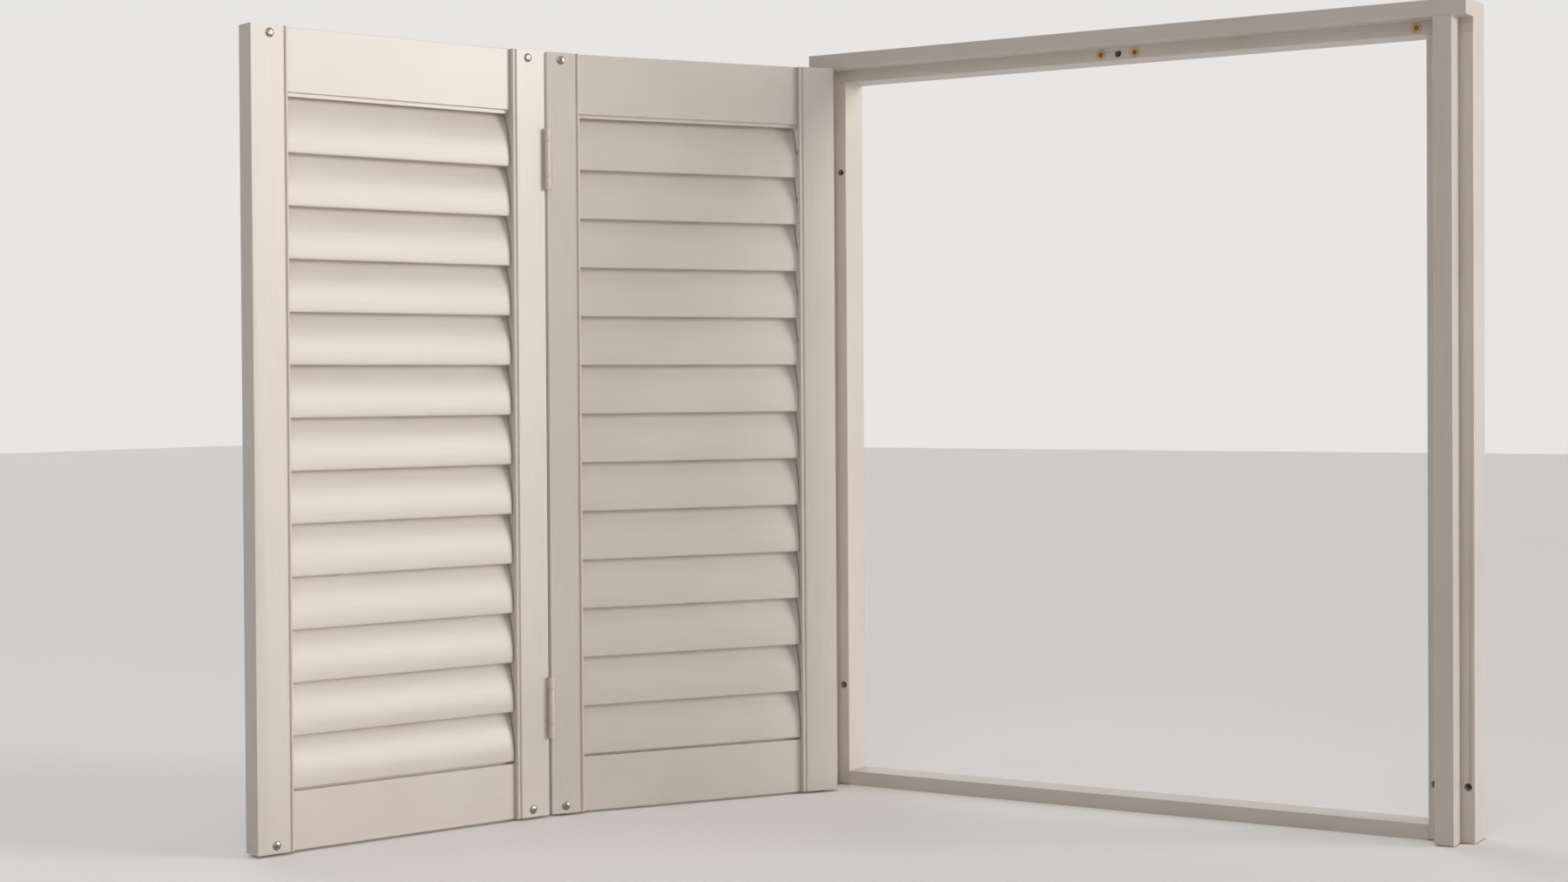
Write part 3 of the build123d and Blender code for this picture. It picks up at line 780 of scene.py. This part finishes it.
half_reach = reckon(knuckle_tree, "MULTIPLY", size["Strip Reach"], 0.5)
strip_place = add_node(
    knuckle_tree, "ShaderNodeCombineXYZ",
    {0: size["Strip Middle"], 1: reckon(knuckle_tree, "ADD", size["Bore"], half_reach)},
)
moved_strip = add_node(
    knuckle_tree, "GeometryNodeTransform",
    {"Geometry": strip.outputs[0], "Translation": strip_place.outputs[0]},
)
knuckle = add_node(knuckle_tree, "GeometryNodeJoinGeometry", {0: ring.outputs[0]})
knuckle_tree.links.new(moved_strip.outputs[0], knuckle.inputs[0])
end_tree(knuckle_tree, knuckle_result, knuckle.outputs[0], size["Finish"])
print("knuckle tree has", len(knuckle_tree.nodes), "nodes")

# %% [markdown]
# A plate is punched from sheet: its outline and its two screw holes are drawn as curves, filled,
# and pushed out to the thickness of the sheet.

# %% Build the plate tree
plate_tree, size, plate_result = new_tree(
    "hinge_plate", ("Width", "Float"), ("Height", "Float"), ("Thickness", "Float"),
    ("Corner Round", "Float"), ("Hole Radius", "Float"), ("Hole Spread", "Float"),
    ("Finish", "Material"),
)
outline = add_node(
    plate_tree, "GeometryNodeCurvePrimitiveQuadrilateral",
    {"Width": size["Width"], "Height": size["Height"]},
)
rounded_outline = add_node(
    plate_tree, "GeometryNodeFilletCurve",
    {"Curve": outline.outputs[0], "Count": 4, "Radius": size["Corner Round"], "Limit Radius": True},
    mode="POLY",
)
drawing = add_node(plate_tree, "GeometryNodeJoinGeometry", {0: rounded_outline.outputs[0]})
for end in (0.5, -0.5):
    hole = add_node(
        plate_tree, "GeometryNodeCurvePrimitiveCircle", {"Resolution": 28, "Radius": size["Hole Radius"]}
    )
    hole_place = add_node(
        plate_tree, "ShaderNodeCombineXYZ", {1: reckon(plate_tree, "MULTIPLY", size["Hole Spread"], end)}
    )
    moved_hole = add_node(
        plate_tree, "GeometryNodeTransform",
        {"Geometry": hole.outputs[0], "Translation": hole_place.outputs[0]},
    )
    plate_tree.links.new(moved_hole.outputs[0], drawing.inputs[0])
sheet = add_node(plate_tree, "GeometryNodeFillCurve", {"Curve": drawing.outputs[0]})
pushed = add_node(
    plate_tree, "GeometryNodeExtrudeMesh",
    {"Mesh": sheet.outputs[0], "Offset Scale": size["Thickness"], "Individual": False},
)
underside = add_node(plate_tree, "GeometryNodeFlipFaces", {0: sheet.outputs[0]})
both_sides = add_node(plate_tree, "GeometryNodeJoinGeometry", {0: pushed.outputs[0]})
plate_tree.links.new(underside.outputs[0], both_sides.inputs[0])
plate = add_node(
    plate_tree, "GeometryNodeMergeByDistance",
    {"Geometry": both_sides.outputs[0], "Distance": merge_distance},
)
end_tree(plate_tree, plate_result, plate.outputs[0], size["Finish"])
print("plate tree has", len(plate_tree.nodes), "nodes")

# %% [markdown]
# Each hinge line has its pin, and each leaf its own side of the pin. The leaves on the jamb and
# on the outer panel have a short knuckle at each end, and those on the inner panel have one long
# knuckle between them.

# %% Size the hinges
frame_pin = Vector(joints["inner_panel_swing"]["pos_m"])
fold_pin = Vector(joints["outer_panel_fold"]["pos_m"])
hinge_heights = (125 * mm, 762 * mm)
plate_sizes = {
    "Width": 21 * mm, "Height": 70 * mm, "Thickness": 1.5 * mm, "Corner Round": 1.5 * mm,
    "Hole Radius": 2.85 * mm, "Hole Spread": 44 * mm, "Finish": hinge_paint,
}
knuckle_sizes = {
    "Radius": 3.4 * mm, "Bore": 1.8 * mm, "Edge Round": 0.4 * mm, "Strip Thickness": 1.5 * mm,
    "Strip Reach": 2.4 * mm, "Finish": hinge_paint,
}
end_knuckles = ((-28 * mm, 14 * mm), (28 * mm, 14 * mm))
long_knuckle = ((0, 41.4 * mm),)
plate_near = 0.1 * mm
plate_middle = 0.85 * mm
plate_out = 14.5 * mm
leaves = {
    "frame_hinge_jamb_leaves": (frame_pin, Vector((1, 0, 0)), -1, end_knuckles),
    "frame_hinge_panel_leaves": (frame_pin, across_panel("inner"), 1, long_knuckle),
    "fold_hinge_inner_leaves": (fold_pin, -across_panel("inner"), 1, long_knuckle),
    "fold_hinge_outer_leaves": (fold_pin, -across_panel("outer"), -1, end_knuckles),
}
print("hinges", round(plate_sizes["Height"] / mm), "mm high, at", len(hinge_heights), "heights")

# %% [markdown]
# A plate and its knuckles are made about their pin, and joined into one mesh. Both hinges of a line
# are alike, so the leaf is made once and set out at two heights.

# %% Make the leaves


def joined(meshes):
    """Several meshes as one."""
    shell = bmesh.new()
    for mesh in meshes:
        shell.from_mesh(mesh)
    whole = bpy.data.meshes.new("joined")
    shell.to_mesh(whole)
    shell.free()
    whole.materials.append(meshes[0].materials[0])
    return whole


for node, (pin, across, side, knuckles) in leaves.items():
    into_gap = up.cross(across)
    turn = Matrix((across, into_gap, up)).transposed().to_4x4()
    on_face = Matrix((into_gap, up, across)).transposed().to_4x4()
    plate_low = plate_near if side == 1 else -plate_near - plate_sizes["Thickness"]
    plate_place = Matrix.Translation(turn @ Vector((plate_low, plate_out, 0))) @ on_face
    parts = [made_by(plate_tree, blank, plate_place, **plate_sizes)]
    for height, length in knuckles:
        sizes = {**knuckle_sizes, "Length": length, "Strip Middle": side * plate_middle}
        parts.append(made_by(knuckle_tree, blank, turn @ Matrix.Translation((0, 0, height)), **sizes))
    places = [(pin + up * height, up) for height in hinge_heights]
    mesh = outward(set_out(joined(parts), places, hinge_paint))
    finish_piece(f"{node}_pair", mesh, node, "hinge_paint", shade_limit=leaf_smooth)
    print(node, len(mesh.polygons), "faces")

# %% [markdown]
# Pins, screws, strikes and catches are all turned on a lathe, so each is drawn as half of its
# section and spun about its middle. They are drawn in millimetres, because that is how such small
# things are thought of, and brought to metres when they are done.

# %% Helpers for turned pieces
turning_steps = 36
merge_millimetres = 0.0005


def shell_mesh(shell, name):
    """A closed shell as a mesh, its doubles merged and its faces turned outwards."""
    bmesh.ops.remove_doubles(shell, verts=shell.verts, dist=merge_millimetres)
    bmesh.ops.recalc_face_normals(shell, faces=shell.faces)
    mesh = bpy.data.meshes.new(name)
    shell.to_mesh(mesh)
    shell.free()
    return mesh


def turned_piece(*profile):
    """A piece turned on the lathe, from (radius, height) points in millimetres."""
    shell = bmesh.new()
    corners = [shell.verts.new((radius, 0, height)) for radius, height in profile]
    edges = [shell.edges.new(pair) for pair in zip(corners, corners[1:])]
    bmesh.ops.spin(
        shell, geom=corners + edges, cent=(0, 0, 0), axis=(0, 0, 1), angle=2 * math.pi,
        steps=turning_steps,
    )
    return shell_mesh(shell, "turned")


def in_metres(mesh, shift=0.0):
    """The same piece in metres, its face moved out by a distance in millimetres."""
    mesh.transform(Matrix.Scale(mm, 4) @ Matrix.Translation((0, 0, shift)))
    return mesh


print("turned pieces have", turning_steps, "facets round")

# %% [markdown]
# A recess for the screwdriver is cut from each head with a Boolean: the tool is a prism of the
# recess's outline, a little narrower at its floor, as a punched recess is.

# %% Helpers for recesses
cutter_rise = 3.0


def cutter(outline, depth, narrowing=1.0):
    """A tool that cuts a recess of an outline, narrower at its floor. Its sizes are millimetres."""
    shell = bmesh.new()
    low = [shell.verts.new((x * narrowing, y * narrowing, -depth)) for x, y in outline]
    high = [shell.verts.new((x, y, cutter_rise)) for x, y in outline]
    shell.faces.new(low)
    shell.faces.new(high)
    for corner in range(len(outline)):
        shell.faces.new((low[corner - 1], low[corner], high[corner], high[corner - 1]))
    return shell_mesh(shell, "cutter")


cut_tree, size, cut_result = new_tree("recess", ("Tool", "Object"), ("Finish", "Material"))
tool = add_node(cut_tree, "GeometryNodeObjectInfo", {"Object": size["Tool"]})
recess = add_node(
    cut_tree, "GeometryNodeMeshBoolean", {0: size["Geometry"]}, operation="DIFFERENCE", solver="EXACT"
)
cut_tree.links.new(tool.outputs["Geometry"], recess.inputs[1])
end_tree(cut_tree, cut_result, recess.outputs[0], size["Finish"])


def cut(mesh, tool_mesh, finish):
    """A piece with a recess cut in its head."""
    tool_object = bpy.data.objects.new("tool", tool_mesh)
    bpy.context.scene.collection.objects.link(tool_object)
    result = made_by(cut_tree, mesh, Tool=tool_object, Finish=finish)
    bpy.data.objects.remove(tool_object)
    return result


def cross(arm, half_slot):
    """The outline of a cross recess."""
    quarter = [(arm, -half_slot), (arm, half_slot), (half_slot, half_slot)]
    points = []
    for _ in range(4):
        points += quarter
        quarter = [(-y, x) for x, y in quarter]
    return points


print("a cross recess has", len(cross(arm=1.6, half_slot=0.35)), "corners")

# %% [markdown]
# The pins have rounded ends that show above and below the knuckles. The leaves' screws are
# countersunk, and painted with the leaves. Each is turned once and then set out, and the screws
# are rolled at random, as a screwdriver leaves them.

# %% Turn the pins and the leaves' screws
pin_end = [(0, 36.3), (0.9, 36.2), (1.5, 35.8), (1.75, 35.2)]
other_pin_end = [(radius, -height) for radius, height in reversed(pin_end)]
pin_pattern = in_metres(turned_piece(*pin_end, *other_pin_end))
for node, pin in (("frame_hinge_pins", frame_pin), ("fold_hinge_pins", fold_pin)):
    mesh = set_out(pin_pattern, [(pin + up * height, up) for height in hinge_heights], hinge_paint)
    finish_piece(f"{node}_pair", mesh, node, "hinge_paint", shade_limit=pin_smooth)

screw_pattern = in_metres(cut(
    turned_piece((0, 0), (2.75, 0), (2.75, -0.15), (1.4, -1.45), (1.4, -12.5), (0, -15.4)),
    cutter(cross(arm=1.6, half_slot=0.35), depth=1.0, narrowing=0.6), hinge_paint,
))
screw_spread = (-22 * mm, 22 * mm)
screw_out = 16 * mm
screws_of = {
    "jamb_leaf_screws": ["frame_hinge_jamb_leaves"],
    "inner_leaf_screws": ["frame_hinge_panel_leaves", "fold_hinge_inner_leaves"],
    "outer_leaf_screws": ["fold_hinge_outer_leaves"],
}
for seed, (node, leaf_nodes) in enumerate(screws_of.items()):
    places = []
    for leaf_node in leaf_nodes:
        pin, across, side, _ = leaves[leaf_node]
        face = pin + across * side * plate_near + up.cross(across) * screw_out
        places += [
            (face + up * (height + spread), -side * across)
            for height in hinge_heights
            for spread in screw_spread
        ]
    mesh = set_out(screw_pattern, places, hinge_paint, seed=seed, most_roll=math.tau)
    finish_piece(f"{node}_set", mesh, node, "hinge_paint", shade_limit=turned_smooth)
    print(node, len(places), "screws")

# %% [markdown]
# The strikes are steel screws with low domed heads. They stand at the corners of the panels'
# backs, where the magnets in the head of the frame can pull on them. A flattened sphere would do
# for the head, but a turned profile also gives its crisp rim.

# %% Turn the strikes
panel_thickness = 26.5 * mm
edge_from_pin = 1.6 * mm
face_from_pin = 4 * mm
pin_and_back_face = {
    "inner": (frame_pin, face_from_pin + panel_thickness),
    "outer": (fold_pin, -face_from_pin),
}
strike_pattern = in_metres(cut(
    turned_piece(
        (0, 1.45), (1.8, 1.4), (3.0, 1.2), (4.1, 0.85), (4.9, 0.4), (5.2, 0), (2, 0), (2, -9), (0, -9),
    ),
    cutter(cross(arm=2.3, half_slot=0.5), depth=0.2, narrowing=0.7), bright_steel,
))
strike_places = {"inner_strike_screws": (358.6 * mm,), "outer_strike_screws": (22.4 * mm, 353.1 * mm)}
strike_heights = (8.8 * mm, 878.2 * mm)
first_strike_seed = 5
for seed, (node, across_places) in enumerate(strike_places.items(), start=first_strike_seed):
    panel_name = node.split("_")[0]
    along = across_panel(panel_name)
    pin, back_face = pin_and_back_face[panel_name]
    corner = pin + along * edge_from_pin + up.cross(along) * back_face
    places = [
        (corner + along * distance + up * height, up.cross(along))
        for distance in across_places
        for height in strike_heights
    ]
    mesh = set_out(strike_pattern, places, bright_steel, seed=seed, most_roll=math.tau)
    finish_piece(f"{node}_set", mesh, node, "bright_steel", shade_limit=turned_smooth)
    print(node, len(places), "strikes")

# %% [markdown]
# The catches are round magnets in plastic rings, let into the light stop of the head. Each is
# held by a dark screw through its middle. The ring's section is drawn with the hole already in it,
# so nothing has to be drilled.

# %% Turn the catches and their screws
catch_across_places = (-18.5 * mm, 24.0 * mm, 354.7 * mm)
catch_front = -21.45 * mm
catch_height = 886 * mm
catch_screw_seed = 9
to_room = Vector((0, -1, 0))
catch_places = [
    (Vector((across, catch_front, catch_height)), to_room) for across in catch_across_places
]
catch_pattern = in_metres(turned_piece(
    (6, -7), (6, -0.6), (5.8, -0.2), (5.4, 0), (4.0, 0), (3.6, -0.35), (2.9, -0.45), (2.9, -1.5),
    (1.6, -1.5), (1.6, -7), (6, -7),
))
catch_screw = in_metres(cut(
    turned_piece((0, -0.2), (1.9, -0.25), (2.75, -0.6), (2.75, -1.5), (1.4, -1.5), (1.4, -13), (0, -16)),
    cutter(cross(arm=1.6, half_slot=0.4), depth=1.2, narrowing=0.6), bronzed_steel,
))
mesh = set_out(catch_pattern, catch_places, catch_plastic)
finish_piece(
    "magnet_catch_rings", mesh, "magnet_catches", "catch_plastic", shade_limit=turned_smooth
)
mesh = set_out(
    catch_screw, catch_places, bronzed_steel, seed=catch_screw_seed, most_roll=math.tau
)
finish_piece("catch_screws_set", mesh, "magnet_screws", "dark_steel", shade_limit=turned_smooth)
print(len(catch_places), "catches")

# %% [markdown]
# A slotted plug in the outer edge of each panel sets how stiffly the louvres tilt: its shank bears
# on the peg of the middle louvre. Its slot runs out past the rim, so the tool that cuts it is a
# plain bar, longer than the head is wide.

# %% Turn the tension plugs
plug_lengths = {"inner": 30.0, "outer": 33.5}
plug_sunk = 0.08
slot_outline = [(-0.6, -6), (0.6, -6), (0.6, 6), (-0.6, 6)]
for panel_name, length in plug_lengths.items():
    node = f"{panel_name}_tension_screw"
    along = across_panel(panel_name)
    place = Matrix.Translation(joints[f"{panel_name}_tension_turn"]["pos_m"]) @ Matrix((
        up.cross(along), -up, along,
    )).transposed().to_4x4()
    mesh = in_metres(cut(
        turned_piece((0, 0), (5.1, 0), (5.4, -0.3), (5.4, -1.5), (3, -1.5), (3, -length), (0, -length)),
        cutter(slot_outline, depth=0.7), plug_plastic,
    ), shift=-plug_sunk)
    mesh.transform(place)
    finish_piece(f"{node}_plug", mesh, node, "plug_plastic", shade_limit=turned_smooth)
    print(node, "is", length, "mm long")

# %% [markdown]
# The floor is one large square, so that its edge is far off. It is pale by its own colour, and not
# because much light falls on it.

# %% Lay the floor
floor_tone = (0.90, 0.885, 0.87, 1)
floor_roughness = 0.9
floor_half_width = 14.0

floor_corners = [
    (x * floor_half_width, y * floor_half_width, 0) for x, y in ((-1, -1), (1, -1), (1, 1), (-1, 1))
]
floor_mesh = bpy.data.meshes.new("pale_floor")
floor_mesh.from_pydata(floor_corners, [], [(0, 1, 2, 3)])
floor = bpy.data.objects.new("pale_floor", floor_mesh)
bpy.context.scene.collection.objects.link(floor)
floor_finish = bpy.data.materials.new("pale_floor")
floor_finish.use_nodes = True
floor_shader = floor_finish.node_tree.nodes["Principled BSDF"]
floor_shader.inputs["Base Color"].default_value = floor_tone
floor_shader.inputs["Roughness"].default_value = floor_roughness
floor_mesh.materials.append(floor_finish)
print("floor", 2 * floor_half_width, "m wide")

# %% [markdown]
# The background is pale too, but its light would be far too much on the shutters. So the world
# shows the pale colour to the camera and to reflections only, and gives everything else a much
# dimmer light.

# %% Paint the background
background_tone = (0.80, 0.79, 0.78, 1)
ambient_tone = (0.60, 0.585, 0.57, 1)
ambient_strength = 0.18

world = bpy.data.worlds.new("studio")
bpy.context.scene.world = world
world.use_nodes = True
world.node_tree.nodes.clear()
rays = add_node(world.node_tree, "ShaderNodeLightPath")
seen = add_node(
    world.node_tree, "ShaderNodeMath",
    {0: rays.outputs["Is Camera Ray"], 1: rays.outputs["Is Glossy Ray"]}, operation="MAXIMUM",
)
seen_through = add_node(
    world.node_tree, "ShaderNodeMath",
    {0: seen.outputs[0], 1: rays.outputs["Is Transmission Ray"]}, operation="MAXIMUM",
)
ambient = add_node(
    world.node_tree, "ShaderNodeBackground", {"Color": ambient_tone, "Strength": ambient_strength}
)
background = add_node(
    world.node_tree, "ShaderNodeBackground", {"Color": background_tone, "Strength": 1.0}
)
either = add_node(
    world.node_tree, "ShaderNodeMixShader",
    {0: seen_through.outputs[0], 1: ambient.outputs[0], 2: background.outputs[0]},
)
add_node(world.node_tree, "ShaderNodeOutputWorld", {"Surface": either.outputs[0]})
print("the world takes", len(world.node_tree.nodes), "nodes")

# %% [markdown]
# The light is a plain studio's, placed as the room's was. Three of its lamps are as even as
# daylight, so that they leave no bright patch on the ground. The strongest shines from where the
# window's light comes, behind the frame and to the right, and grazes the backs of the panels. One
# overhead lights the upper faces, and one the panels' far side. A weak broad lamp fills from the
# room.

# %% Hang the lamps
window_width = math.radians(28)
sky_width = math.radians(50)
window_tone = (1.0, 0.965, 0.93)
room_tone = (1.0, 0.975, 0.95)
sky_tone = (1.0, 1.0, 1.0)
room_lamp_place = Vector((0.8, -3.2, 2.2))
room_lamp_width = 2.4
room_lamp_height = 1.6
middle_of_panels = Vector((-0.5, -0.35, 0.45))


def hang_lamp(name, kind, direction, power, tone):
    """A lamp that shines along a direction. Returns the lamp and its settings."""
    settings = bpy.data.lights.new(name, kind)
    settings.energy = power
    settings.color = tone
    lamp = bpy.data.objects.new(name, settings)
    lamp.rotation_euler = Vector(direction).to_track_quat("-Z", "Y").to_euler()
    bpy.context.scene.collection.objects.link(lamp)
    return lamp, settings


def daylight(name, direction, power, width, tone):
    """A lamp as even as daylight. The wider it is, the softer are its shadows."""
    lamp, settings = hang_lamp(name, "SUN", direction, power, tone)
    settings.angle = width


daylight("window_lamp", (-5.5, -2.25, -0.85), power=2.35, width=window_width, tone=window_tone)
room_lamp, room_settings = hang_lamp(
    "room_lamp", "AREA", middle_of_panels - room_lamp_place, power=20, tone=room_tone
)
room_lamp.location = room_lamp_place
room_settings.shape = "RECTANGLE"
room_settings.size = room_lamp_width
room_settings.size_y = room_lamp_height
daylight("overhead_lamp", (0, 0, -1), power=0.9, width=sky_width, tone=sky_tone)
daylight("far_side_lamp", (2.9, -1.75, -1.5), power=0.8, width=sky_width, tone=sky_tone)
print("lamps:", len(bpy.data.lights))

# %% [markdown]
# The Standard view shows each colour about as it is written. The finished model must stay inside
# the measured one.

# %% Set the view transform
bpy.context.scene.view_settings.view_transform = "Standard"
